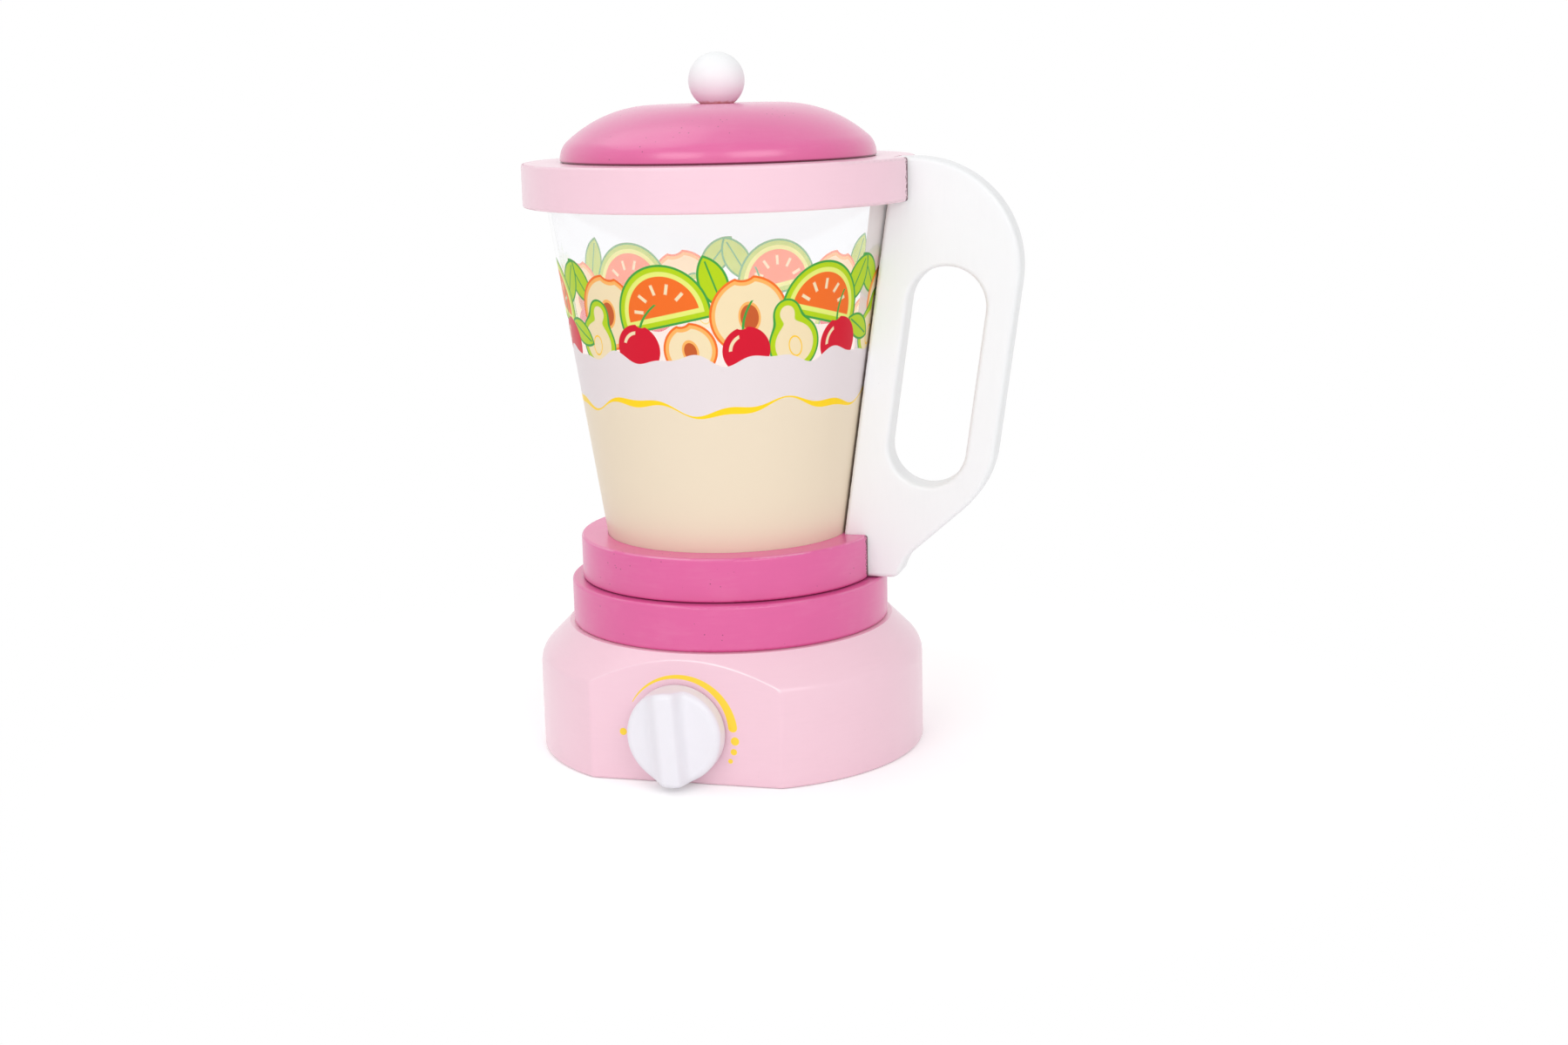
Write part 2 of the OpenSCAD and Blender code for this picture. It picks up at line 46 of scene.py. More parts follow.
def nodePoints(name):
    mesh = nodes[name].data
    points = np.zeros(len(mesh.vertices) * 3, np.float32)
    mesh.vertices.foreach_get("co", points)
    return points.reshape(-1, 3).astype(float) / mm


def nodeBox(name):
    points = nodePoints(name)
    return points.min(0), points.max(0)


# widest distance from the axis, of all of a node's points or of those near one height
def nodeRadius(name, height=None, reach=0.01):
    points = nodePoints(name)
    if height is not None:
        points = points[abs(points[:, 2] - height) < reach]
    return np.hypot(points[:, 0], points[:, 1]).max()


baseLow, baseHigh = nodeBox("base_block")
baseRadius = nodeRadius("base_block")
baseTopRadius = nodeRadius("base_block", baseHigh[2])
coverHigh = nodeBox("bottom_cover")[1]
knobLow, knobHigh = nodeBox("knob")
knobMiddle = (knobLow + knobHigh) / 2
handleLow, handleHigh = nodeBox("handle")
domeLow, domeHigh = nodeBox("lid_dome")
ballLow = nodeBox("lid_ball")[0]
wallLow, wallHigh = nodeBox("jug_wall")
wallFoot = nodeRadius("jug_wall", wallLow[2])
wallRim = nodeRadius("jug_wall", wallHigh[2])
wallLean = (wallRim - wallFoot) / (wallHigh[2] - wallLow[2])


# outer radius of the clear wall, for a number or a wire
def wallRadius(height):
    return (height - wallLow[2]) * wallLean + wallFoot


# Grid surfaces

sharpFrom = math.radians(40)  # an edge that turns more than this stays sharp


# quads of a grid of rows x columns points; the columns always close, the rows on request
def gridFaces(rows, columns, closeRows=False):
    row = np.arange(rows if closeRows else rows - 1)[:, None] * columns
    nextRow = (row + columns) % (rows * columns)
    here = np.arange(columns)[None, :]
    there = (here + 1) % columns
    return np.stack([row + here, row + there, nextRow + there, nextRow + here], -1).reshape(-1, 4)


# triangles from the first or the last ring of a grid to a pole
def poleFaces(ring, pole, upper):
    fan = np.stack([ring, np.roll(ring, -1), np.full(len(ring), pole)], -1)
    return fan if upper else fan[:, ::-1]


# faces of a grid that closes at both ends to poles, the two points after its own
def cappedFaces(rows, columns):
    ring = np.arange(columns)
    return [
        gridFaces(rows, columns),
        poleFaces(ring, rows * columns, upper=False),
        poleFaces(ring + (rows - 1) * columns, rows * columns + 1, upper=True),
    ]


# a section of (radius, height) points carried round the axis
def turnedGrid(section, columns):
    turn = np.linspace(0, 2 * np.pi, columns, endpoint=False)
    reach, height = section[:, :1], section[:, 1:]
    return np.stack([reach * np.cos(turn), reach * np.sin(turn), height + 0 * turn], -1)


def newPiece(name, points, faces, body, node):
    places = (points.reshape(-1, 3) * mm).tolist()
    corners = [face.tolist() for group in faces for face in group]
    mesh = bpy.data.meshes.new(name)
    mesh.from_pydata(places, [], corners)
    mesh.shade_smooth()
    mesh.set_sharp_from_angle(angle=sharpFrom)
    piece = bpy.data.objects.new(name, mesh)
    scene.collection.objects.link(piece)
    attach(piece, body)
    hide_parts(node)
    print("piece:", name, len(mesh.polygons), "faces")
    return piece


# a line through corners (across, up, rounding): straight stretches in even steps and tangent arcs
def roundedLine(corners, closed=False, step=1.0, arcSteps=10):
    spots = np.array([c[:2] for c in corners], float)
    radii = np.array([c[2] if len(c) > 2 else 0.0 for c in corners])
    back = np.roll(spots, 1, 0) - spots
    ahead = np.roll(spots, -1, 0) - spots
    back /= np.linalg.norm(back, axis=1)[:, None]
    ahead /= np.linalg.norm(ahead, axis=1)[:, None]
    half = np.arccos(np.clip((back * ahead).sum(1), -1, 1)) / 2
    stretches = []
    for i, spot in enumerate(spots):
        if radii[i] == 0:
            stretches.append(spot[None, :])
            continue
        cut = radii[i] / math.tan(half[i])
        start, end = spot + back[i] * cut, spot + ahead[i] * cut
        towards = back[i] + ahead[i]
        centre = spot + towards / np.linalg.norm(towards) * radii[i] / math.sin(half[i])
        first = np.arctan2(*(start - centre)[::-1])
        sweep = (np.arctan2(*(end - centre)[::-1]) - first + np.pi) % (2 * np.pi) - np.pi
        turn = first + sweep * np.linspace(0, 1, arcSteps + 1)
        stretches.append(centre + radii[i] * np.stack([np.cos(turn), np.sin(turn)], -1))
    line = []
    last = len(stretches) if closed else len(stretches) - 1
    for i, stretch in enumerate(stretches):
        line.append(stretch)
        if i < last:
            a, b = stretch[-1], stretches[(i + 1) % len(stretches)][0]
            parts = max(1, math.ceil(np.linalg.norm(b - a) / step))
            line.append(a + (b - a) * (np.arange(1, parts) / parts)[:, None])
    return np.concatenate(line)


# the smaller of two radii, rounded over where they are closer than soft
def softMin(a, b, soft):
    share = np.clip(0.5 + (b - a) / soft / 2, 0, 1)
    return b + (a - b) * share - soft * share * (1 - share)


# a share from 0 to 1 with level ends, for arrays and wires
def smooth(share):
    return share * share * (3.0 - share * 2.0)


# Base block: a turned section whose radius is the soft minimum of the turned radius and the front flat.
# The section is blended from one with a tight shoulder, up to frontTo degrees from the front,
# to one with a wide shoulder, past sideFrom degrees

baseShape = {
    "sideTop": 35.0, "frontRound": 3.0, "sideRound": 10.0, "frontTo": 42.0, "sideFrom": 68.0,
    "shoulderBand": 8.0, "shoulderRows": 100, "foot": 1.1, "arris": 0.5,
    "coverGap": 0.3, "pocket": 40.0, "pocketFront": 41.0, "pocketSide": 26.0, "roof": 34.0,
    "flatColumns": 380, "roundColumns": 150, "flatHalf": 33.0, "steps": 6, "pocketSteps": 4,
    "topRings": (0.97, 0.9, 0.7, 0.4, 0.15),  # shares of the top's radius
}


# the shoulder's section with one rounding, as even rows of radius and of height
def shoulderSection(rounding):
    sideTop = baseShape["sideTop"]
    start = (baseRadius, sideTop - baseShape["shoulderBand"])
    end = (baseTopRadius, baseHigh[2])
    line = roundedLine([start, (baseRadius, sideTop, rounding), end], step=0.2, arcSteps=28)
    run = np.concatenate([[0], np.linalg.norm(np.diff(line, axis=0), axis=1).cumsum()])
    even = np.linspace(0, run[-1], baseShape["shoulderRows"])
    return np.interp(even, run, line[:, 0])[:, None], np.interp(even, run, line[:, 1])[:, None]


# the pocket's reach in each direction: round, with more room for the click wheel at the front
def pocketReach(turn, towardsFlat):
    shape = baseShape
    sideRoom = np.where(np.cos(turn) > 0, knobMiddle[0], -knobMiddle[0]) + shape["pocketSide"]
    sideways = np.maximum(abs(np.cos(turn)), tiny)
    wheelRoom = np.minimum(shape["pocketFront"] / towardsFlat, sideRoom / sideways)
    return np.where(np.sin(turn) < 0, np.maximum(shape["pocket"], wheelRoom), shape["pocket"])


def makeBase():
    shape = baseShape
    half = math.radians(shape["flatHalf"])
    front = np.linspace(-half, half, shape["flatColumns"], endpoint=False)
    rest = np.linspace(half, 2 * np.pi - half, shape["roundColumns"], endpoint=False)
    turn = np.concatenate([front, rest]) - np.pi / 2
    towardsFlat = np.maximum(-np.sin(turn), tiny)
    flat = -baseLow[1] / towardsFlat
    edge = softMin(baseRadius, flat, shape["arris"])
    pocket = pocketReach(turn, towardsFlat)
    fromFront = np.degrees(np.arccos(np.clip(-np.sin(turn), -1, 1)))
    share = (fromFront - shape["frontTo"]) / (shape["sideFrom"] - shape["frontTo"])
    share = smooth(np.clip(share, 0, 1))
    tight, tightUp = shoulderSection(shape["frontRound"])
    wide, wideUp = shoulderSection(shape["sideRound"])
    shoulder = tight + (wide - tight) * share
    shoulderUp = tightUp + (wideUp - tightUp) * share
    # rings from the pocket's roof down, under the block, up its side and in over its top
    even = np.linspace(0, 1, shape["steps"] + 1)[1:, None]
    bend = even * np.pi / 2
    level = np.zeros_like(turn)
    recess, foot = coverHigh[2], shape["foot"]
    coverHole = nodeRadius("bottom_cover") + shape["coverGap"]
    under = edge - foot - coverHole
    inner = np.linspace(shape["roof"], recess, shape["pocketSteps"] + 1)[1:, None]
    outer = foot + (shape["sideTop"] - shape["shoulderBand"] - foot) * even[:-1]
    top = np.array(shape["topRings"])[:, None]
    rows = [
        (pocket * even, shape["roof"] + 0 * even),
        (pocket + 0 * inner, inner),
        (pocket + (coverHole - pocket) * even, recess + 0 * even),
        (coverHole + level, np.array([[recess / 2], [0.0]])),
        (coverHole + under * even, 0 * even),
        (edge - foot * (1 - np.sin(bend)), foot * (1 - np.cos(bend))),
        (edge + 0 * outer, outer),
        (softMin(shoulder, flat, shape["arris"]), shoulderUp),
        (baseTopRadius * top + level, baseHigh[2] + 0 * top),
    ]
    across = np.concatenate([np.broadcast_to(r, (len(z), len(turn))) for r, z in rows])
    up = np.concatenate([z + level for r, z in rows])
    points = np.stack([across * np.cos(turn), across * np.sin(turn), up], -1).reshape(-1, 3)
    points = np.concatenate([points, [[0, 0, shape["roof"]], [0, 0, baseHigh[2]]]])
    faces = cappedFaces(len(across), len(turn))
    return newPiece("baseBlock", points, faces, "base", "base_block")


# Handle: a closed ring of sections. Each runs from the outline to the finger hole over the front face,
# with round edges, and back over the rear face

handleShape = {
    "gap": 0.45, "width": 50.05, "corner": 1.8, "edge": 1.7,
    "toeReach": 64.0, "toe": 4.0, "neckReach": 67.0, "neckHeight": 70.3, "neck": 16.0,
    "heelHeight": 96.4, "heel": 35.0, "crown": 37.7,
    "holeWidth": 27.5, "holeMiddle": 25.85, "holeTop": 51.3, "holeLength": 49.8,
    "edgeSteps": 8, "flankSteps": 5, "faceSteps": 13,
}


# the edge that faces the clear wall, for a number or a wire
def handleEdge(height):
    return wallRadius(height) + handleShape["gap"]


def makeHandle():
    shape = handleShape
    toe, top = handleLow[2], handleHigh[2]
    outline = roundedLine([
        (handleEdge(toe), toe, shape["corner"]), (shape["toeReach"], toe, shape["toe"]),
        (shape["neckReach"], shape["neckHeight"], shape["neck"]),
        (handleEdge(shape["heelHeight"]) + shape["width"], shape["heelHeight"], shape["heel"]),
        (handleEdge(top) + shape["width"], top, shape["crown"]), (handleEdge(top), top, shape["corner"]),
    ], closed=True, step=0.8, arcSteps=40)
    tangent = np.roll(outline, -1, 0) - np.roll(outline, 1, 0)
    tangent /= np.linalg.norm(tangent, axis=1)[:, None]
    outward = np.stack([tangent[:, 1], -tangent[:, 0]], -1)
    # the finger hole: points at half its width from the line between its two centres
    holeHigh = top - shape["holeTop"]
    holeLow = holeHigh - shape["holeLength"]
    lower = np.array([handleEdge(holeLow) + shape["holeMiddle"], holeLow])
    upper = np.array([handleEdge(holeHigh) + shape["holeMiddle"], holeHigh])
    run = upper - lower
    along = np.clip((outline - lower) @ run / (run @ run), 0, 1)
    middle = lower + along[:, None] * run
    away = outline - middle
    away /= np.linalg.norm(away, axis=1)[:, None]
    hole = middle + away * shape["holeWidth"] / 2
    # one section as three lists: share of the way to the hole, inset from the edge
    # and place across the board
    edge, half = shape["edge"], handleHigh[1]
    bend = np.linspace(0, np.pi / 2, shape["edgeSteps"] + 1)
    inset, rise = edge * (1 - np.cos(bend)), half - edge * (1 - np.sin(bend))
    flank = np.linspace(edge - half, half - edge, shape["flankSteps"] + 1)[1:-1]
    face = np.linspace(0, 1, shape["faceSteps"] + 1)[1:-1]
    none, full = 0 * bend, 0 * bend + 1
    flush, onFace = 0 * flank, 0 * face + edge
    front, rear = 0 * face - half, 0 * face + half
    share = np.concatenate([none, face, full, flush + 1, full, face[::-1], none, flush])
    depth = np.concatenate([inset, onFace, inset[::-1], flush, inset, onFace, inset[::-1], flush])
    across = np.concatenate([-rise, front, -rise[::-1], flank, rise, rear, rise[::-1], flank[::-1]])
    atOutline = outline - outward * depth[:, None, None]
    atHole = hole + away * depth[:, None, None]
    flat = atOutline + (atHole - atOutline) * share[:, None, None]
    sideways = np.broadcast_to(across[:, None], flat.shape[:2])
    points = np.stack([flat[..., 0], sideways, flat[..., 1]], -1)
    faces = [gridFaces(len(share), len(outline), closeRows=True)]
    return newPiece("jugHandle", points, faces, "jug", "handle")


# Knob: heights over a polar grid, a disc with a round rim and a grip bar that runs across it to the rim.
# The bar's height is rise / (1 + (distance from its middle line / half width) ** flank),
# with a softer flank on the left than on the right

knobShape = {
    "disc": 7.6, "rim": 2.2, "heel": 0.5, "barRise": 5.6, "barHalf": 5.0, "barAside": -1.2,
    "flank": 8.0, "softFlank": 3.6, "lean": 4.0,
    "rings": 60, "columns": 480, "rimSteps": 15, "sideSteps": 7,
}


def makeKnob():
    shape = knobShape
    radius = (knobHigh[0] - knobLow[0]) / 2
    rim, heel = shape["rim"], shape["heel"]
    turn = np.linspace(0, 2 * np.pi, shape["columns"], endpoint=False)
    bend = np.linspace(np.pi / 2, 0, shape["rimSteps"] + 1)[:, None]
    flat = np.linspace(radius - rim, 0, shape["rings"])[1:-1, None]
    reach = np.concatenate([radius - rim * (1 - np.sin(bend)), flat])
    drop = np.concatenate([rim * (1 - np.cos(bend)), 0 * flat])
    fromBar = (reach * np.cos(turn) - shape["barAside"]) / shape["barHalf"]
    flank = np.where(fromBar > 0, shape["flank"], shape["softFlank"])
    front = shape["disc"] - drop + shape["barRise"] / (1 + abs(fromBar) ** flank)
    # behind the front: the side down to a small round heel and the flat back
    side = np.linspace(0, 1, shape["sideSteps"] + 1)[:-1, None]
    heelBend = 0.3 * heel  # how far the heel's round stands in and up at 45 degrees
    behind = np.array([[radius - heel], [radius - heelBend]])
    behindHeight = np.array([[0.0], [heelBend]]) + 0 * turn
    reach = np.concatenate([behind, radius + 0 * side, reach])
    height = np.concatenate([behindHeight, heel + (front[0] - heel) * side, front])
    grid = np.stack([reach * np.cos(turn), reach * np.sin(turn), height], -1).reshape(-1, 3)
    grid = np.concatenate([grid, [[0, 0, 0], [0, 0, height[-1].mean()]]])
    # the disc faces the front, with the bar leaning a little
    lean = math.radians(shape["lean"])
    points = np.stack([
        knobMiddle[0] + grid[:, 0] * math.cos(lean) - grid[:, 1] * math.sin(lean),
        knobHigh[1] - grid[:, 2],
        knobMiddle[2] + grid[:, 0] * math.sin(lean) + grid[:, 1] * math.cos(lean),
    ], -1)
    faces = cappedFaces(len(reach), len(turn))
    return newPiece("knobGrip", points, faces, "knob", "knob")


# Clear wall: a turned shell, outer face up and inner face down

wallShape = {"thickness": 1.2, "step": 3.0, "columns": 240}


def makeWall():
    inner, columns = wallShape["thickness"], wallShape["columns"]
    foot, rim = wallLow[2], wallHigh[2]
    section = roundedLine([
        (wallFoot, foot), (wallRim, rim), (wallRim - inner, rim), (wallFoot - inner, foot),
    ], closed=True, step=wallShape["step"])
    points = turnedGrid(section, columns)
    faces = [gridFaces(len(section), columns, closeRows=True)]
    return newPiece("clearWall", points, faces, "jug", "jug_wall")


# Lid dome: a turned section, a low edge that rounds into a slope and a wide crown

domeShape = {"foot": 0.8, "edgeHeight": 4.9, "edge": 8.4, "slope": 40.0, "crown": 46.0, "columns": 240}


def makeDome():
    shape = domeShape
    low, high = domeLow[2], domeHigh[2]
    radius = nodeRadius("lid_dome")
    slopeRun = (high - low - shape["edgeHeight"]) / math.tan(math.radians(shape["slope"]))
    section = roundedLine([
        (0, low), (radius, low, shape["foot"]), (radius, low + shape["edgeHeight"], shape["edge"]),
        (radius - slopeRun, high, shape["crown"]), (0, high),
    ], step=1.5, arcSteps=24)[1:-1]
    points = turnedGrid(section, shape["columns"]).reshape(-1, 3)
    points = np.concatenate([points, [[0, 0, low], [0, 0, high]]])
    faces = cappedFaces(len(section), shape["columns"])
    return newPiece("lidDome", points, faces, "lid", "lid_dome")


makeBase()
makeDome()
makeHandle()
makeKnob()
clearWall = makeWall()
clearWall.visible_shadow = False  # a thin film that lets light through, print and all


# Shader maths

class Wire:
    # a socket in a node tree; sums and products of wires add Math nodes
    def __init__(self, tree, socket=None):
        self.tree, self.socket = tree, socket

    def node(self, kind, settings=None, values=None, out=0):
        made = self.tree.nodes.new(kind)
        for key, value in (settings or {}).items():
            setattr(made, key, value)
        for key, value in (values or {}).items():
            if isinstance(value, Wire):
                self.tree.links.new(value.socket, made.inputs[key])
            else:
                made.inputs[key].default_value = value
        return Wire(self.tree, made.outputs[out] if made.outputs else None)

    def other(self, name):
        return Wire(self.tree, self.socket.node.outputs[name])

    def math(self, operation, *terms, clamp=False):
        settings = {"operation": operation, "use_clamp": clamp}
        return self.node("ShaderNodeMath", settings, dict(enumerate(terms)))

    def __add__(self, term):
        return self.math("ADD", self, term)

    def __radd__(self, term):
        return self.math("ADD", term, self)

    def __sub__(self, term):
        return self.math("SUBTRACT", self, term)

    def __rsub__(self, term):
        return self.math("SUBTRACT", term, self)

    def __mul__(self, term):
        return self.math("MULTIPLY", self, term)

    def __rmul__(self, term):
        return self.math("MULTIPLY", term, self)

    def __truediv__(self, term):
        return self.math("DIVIDE", self, term)

    def __rtruediv__(self, term):
        return self.math("DIVIDE", term, self)

    def __pow__(self, term):
        return self.math("POWER", self, term)

    def __gt__(self, term):
        return self.math("GREATER_THAN", self, term)

    def __lt__(self, term):
        return self.math("LESS_THAN", self, term)

    def __abs__(self):
        return self.math("ABSOLUTE", self)

    def most(self, term):
        return self.math("MAXIMUM", self, term)

    # the smaller of two, rounded over where they are closer than soft
    def softLeast(self, term, soft):
        return self.math("SMOOTH_MIN", self, term, soft)

    def clip(self):
        return self.math("ADD", self, 0.0, clamp=True)

    def root(self):
        return self.math("SQRT", self)

    def sine(self):
        return self.math("SINE", self)


# 0-255 colour values to the linear colour that a socket takes
def srgb(red, green, blue):
    value = np.array([red, green, blue]) / 255
    linear = np.where(value <= 0.04045, value / 12.92, ((value + 0.055) / 1.055) ** 2.4)
    return (*linear.tolist(), 1.0)


# a colour times a share, and a colour moved towards white
def darker(colour, share):
    return tuple(c * share for c in colour[:3]) + (1.0,)


def paler(colour, share):
    return tuple(c + (1 - c) * share for c in colour[:3]) + (1.0,)


black = (0.0, 0.0, 0.0, 1.0)
white = (1.0, 1.0, 1.0, 1.0)


def newMaterial(name):
    material = bpy.data.materials.new(name)
    material.use_nodes = True
    material.node_tree.nodes.clear()
    return material, Wire(material.node_tree)


def finishMaterial(shader):
    shader.node("ShaderNodeOutputMaterial", {}, {"Surface": shader})


def mixColour(mask, under, over):
    return mask.node("ShaderNodeMix", {"data_type": "RGBA"}, {0: mask, 6: under, 7: over}, out=2)


def mixShader(share, under, over):
    return share.node("ShaderNodeMixShader", {}, {0: share, 1: under, 2: over})


# Object coordinates in millimetres, as one vector
def placeOf(wire):
    metres = wire.node("ShaderNodeTexCoord", out="Object")
    return wire.node("ShaderNodeVectorMath", {"operation": "SCALE"}, {0: metres, "Scale": 1 / mm})


def partsOf(place):
    x = place.node("ShaderNodeSeparateXYZ", {}, {0: place}, out="X")
    return x, x.other("Y"), x.other("Z")


def stretched(place, factors):
    return place.node("ShaderNodeVectorMath", {"operation": "MULTIPLY"}, {0: place, 1: factors})


def noise(place, size, detail=2.0, roughness=0.5):
    values = {"Vector": place, "Scale": 1 / size, "Detail": detail, "Roughness": roughness}
    return place.node("ShaderNodeTexNoise", {}, values)


# distance to the nearest of scattered spots, in shares of their spacing
def spots(place, spacing):
    return place.node("ShaderNodeTexVoronoi", {}, {"Vector": place, "Scale": 1 / spacing}, out="Distance")


# 1 inside a signed distance and 0 outside, over a soft edge in millimetres
def inside(distance, soft=0.2):
    return distance.math("SUBTRACT", 0.5, distance / soft, clamp=True)


# 0 to 1 as a value climbs from low to high
def ramp(value, low, high):
    return value.math("DIVIDE", value - low, high - low, clamp=True)


def length(x, y):
    return (x * x + y * y).root()


def bumped(height, strength=0.35):
    return height.node("ShaderNodeBump", {}, {"Strength": strength, "Distance": mm, "Height": height})


def principled(wire, **values):
    names = {key.replace("_", " "): value for key, value in values.items()}
    return wire.node("ShaderNodeBsdfPrincipled", {}, names)


def dress(material, *names):
    for name in names:
        mesh = bpy.data.objects[name].data
        mesh.materials.clear()
        mesh.materials.append(material)


# Paint on wood: faint grain under the coat, a fine orange peel, a few open pores and a satin lacquer

palePink = {
    "colour": srgb(240, 200, 214), "mottle": 0.06, "grain": 0.06, "pores": 0.1,
    "roughness": 0.45, "lacquer": 0.8,
}
deepPink = {
    "colour": srgb(220, 88, 153), "mottle": 0.08, "grain": 0.06, "pores": 0.9,
    # the colour of the painted shade line at a piece's foot
    "roughness": 0.45, "lacquer": 0.75, "shadeLine": srgb(112, 12, 60),
}
whitePaint = {
    "colour": srgb(237, 238, 239), "mottle": 0.03, "grain": 0.05, "pores": 0.1,
    "roughness": 0.5, "lacquer": 0.4,
}
lidPaint = {**deepPink, "colour": srgb(219, 88, 152), "lacquer": 1.0, "coatIor": 1.6}
# painted light: the ball's white is paler than the handle's, standing in for more light on it
ballPaint = {**whitePaint, "colour": srgb(244, 245, 246), "lacquer": 0.15}

# sizes of the coat's detail, its tones, and the heights that it gives the surface
coatDetail = {
    "cloud": 14.0, "streak": 9.0, "peel": 0.8, "contrast": 3.0, "dark": 0.75, "pale": 0.3,
    "cloudHeight": 0.10, "streakHeight": 0.05, "peelHeight": 0.025, "streakDull": 0.12, "peelDull": 0.10,
    "poreSpacing": 2.6, "poreShare": 0.085, "poreSoft": 0.05, "poreDark": 0.3, "poreDepth": 0.25,
    "patch": 20.0, "patchFrom": 0.55, "patchTo": 0.62,
}


# patches that come and go over a surface
def patchesOn(place, look, detail=3.0):
    return ramp(noise(place, look["patch"], detail), look["patchFrom"], look["patchTo"])


def paintCoat(place, look, grainAlong=(1.0, 1.0, 9.0)):
    coat, paint = coatDetail, look["colour"]
    cloud = noise(place, coat["cloud"], detail=3.0)
    streak = noise(stretched(place, grainAlong), coat["streak"], detail=4.0, roughness=0.6)
    peel = noise(place, coat["peel"])
    pore = inside(spots(place, coat["poreSpacing"]) - coat["poreShare"], coat["poreSoft"])
    pore = pore * patchesOn(place, coat, detail=1.0) * look["pores"]
    shade = (cloud - 0.5) * look["mottle"] + (streak - 0.5) * look["grain"]
    colour = mixColour((shade * -coat["contrast"]).clip(), paint, darker(paint, coat["dark"]))
    colour = mixColour((shade * coat["contrast"]).clip(), colour, paler(paint, coat["pale"]))
    colour = mixColour(pore, colour, darker(paint, coat["poreDark"]))
    height = peel * coat["peelHeight"] + streak * coat["streakHeight"] + cloud * coat["cloudHeight"]
    dull = (streak - 0.5) * coat["streakDull"] + (peel - 0.5) * coat["peelDull"]
    return colour, dull + look["roughness"], height - pore * coat["poreDepth"]


def paintShader(look, colour, roughness, height):
    return principled(
        height, Base_Color=colour, Roughness=roughness, Normal=bumped(height),
        Coat_Weight=look["lacquer"], Coat_IOR=look.get("coatIor", 1.5), Coat_Roughness=0.24,
        Specular_IOR_Level=0.4,
    )


# a ragged dark line where the handle's slot was sawn, slotHalf from the middle plane on the handle's side
sawnLook = {
    "colour": srgb(96, 34, 56), "roughness": 0.75, "grain": 0.9, "spread": 8.0, "start": 0.3,
    "soft": 0.25, "depth": 0.6,
}


def sawnEdge(place, x, y, colour, roughness, slotHalf, radius):
    ragged = noise(place, sawnLook["grain"], detail=3.0, roughness=0.7)
    spread = (ragged - sawnLook["start"]) * sawnLook["spread"]
    onRim = length(x, y) > radius - sawnLook["depth"]
    band = inside(abs(y) - slotHalf - spread, sawnLook["soft"]) * (x > 0.0) * onRim
    return mixColour(band, colour, sawnLook["colour"]), roughness.most(band * sawnLook["roughness"])


# painted highlight on the upper rim of a turned piece: a thin pale line that comes and goes
rimHighlight = {"half": 0.5, "soft": 0.5, "pale": 0.75, "patch": 16.0, "patchFrom": 0.4, "patchTo": 0.6}


def paintedRimHighlight(place, x, y, z, radius, height):
    fromRim = length(length(x, y) - radius, z - height)
    return inside(fromRim - rimHighlight["half"], rimHighlight["soft"]) * patchesOn(place, rimHighlight)


# painted shade: a dark line of the given height at the foot, where the piece stands on the next one
def makePaint(name, look, node, highlight=0.0, slotHalf=None, shadeLine=0.0):
    material, wire = newMaterial(name)
    place = placeOf(wire)
    x, y, z = partsOf(place)
    low, high = nodeBox(node)
    radius = nodeRadius(node)
    colour, roughness, height = paintCoat(place, look)
    # painted shade: a dark line along the foot, where the piece meets the next one
    if shadeLine:
        line = inside(z - low[2] - shadeLine, soft=0.4)
        colour = mixColour(line, colour, look["shadeLine"])
    # painted highlight: a thin pale line on the upper rim
    if highlight:
        line = paintedRimHighlight(place, x, y, z, radius, high[2]) * highlight
        colour = mixColour(line, colour, paler(look["colour"], rimHighlight["pale"]))
    if slotHalf:
        colour, roughness = sawnEdge(place, x, y, colour, roughness, slotHalf, radius)
    finishMaterial(paintShader(look, colour, roughness, height))
    return material


# yellow mark round the knob: an arc that swells along its way, then dots (angle, reach, size) beside it
dialMark = {
    "yellow": srgb(253, 214, 36), "radius": 19.2, "from": 150.0, "to": 6.0, "thin": 0.3, "thick": 3.2,
    "dots": [(-8.0, 20.0, 1.5), (-19.0, 20.4, 1.15), (-29.0, 20.6, 0.85), (184.0, 20.5, 1.3)],
    "depth": 0.3, "rise": 0.03,
}


# the mark by distance aside from the knob's axis and up from it
def dialShape(aside, up):
    mark = dialMark
    turn = up.math("ARCTAN2", up, aside)
    start, end = math.radians(mark["from"]), math.radians(mark["to"])
    share = (start - turn) / (start - end)
    width = share.clip() * (mark["thick"] - mark["thin"]) + mark["thin"]
    past = (share - 1.0).most(share * -1.0).most(0.0) * (mark["radius"] * (start - end))
    shape = inside(length(length(aside, up) - mark["radius"], past) - width / 2)
    for angle, reach, size in mark["dots"]:
        dotAside = reach * math.cos(math.radians(angle))
        dotUp = reach * math.sin(math.radians(angle))
        shape = shape.most(inside(length(aside - dotAside, up - dotUp) - size))
    return shape


# painted highlight where the front flat cuts the shoulder: there the turned radius equals the flat's
# distance from the axis. The line grows from its faint end on the left to its brightest on the right,
# where the light catches the edge, and stops at the side
arrisHighlight = {
    "half": 0.2, "soft": 0.4, "steady": 0.45, "patchy": 0.3, "pale": 0.8,
    "patch": 14.0, "patchFrom": 0.35, "patchTo": 0.6,
    "left": -12.0, "right": 16.0, "faint": 0.15, "low": 34.0, "high": 35.2, "depth": 1.0,
    "softShare": 0.53,  # a soft minimum this share of the rounding wide follows it
}


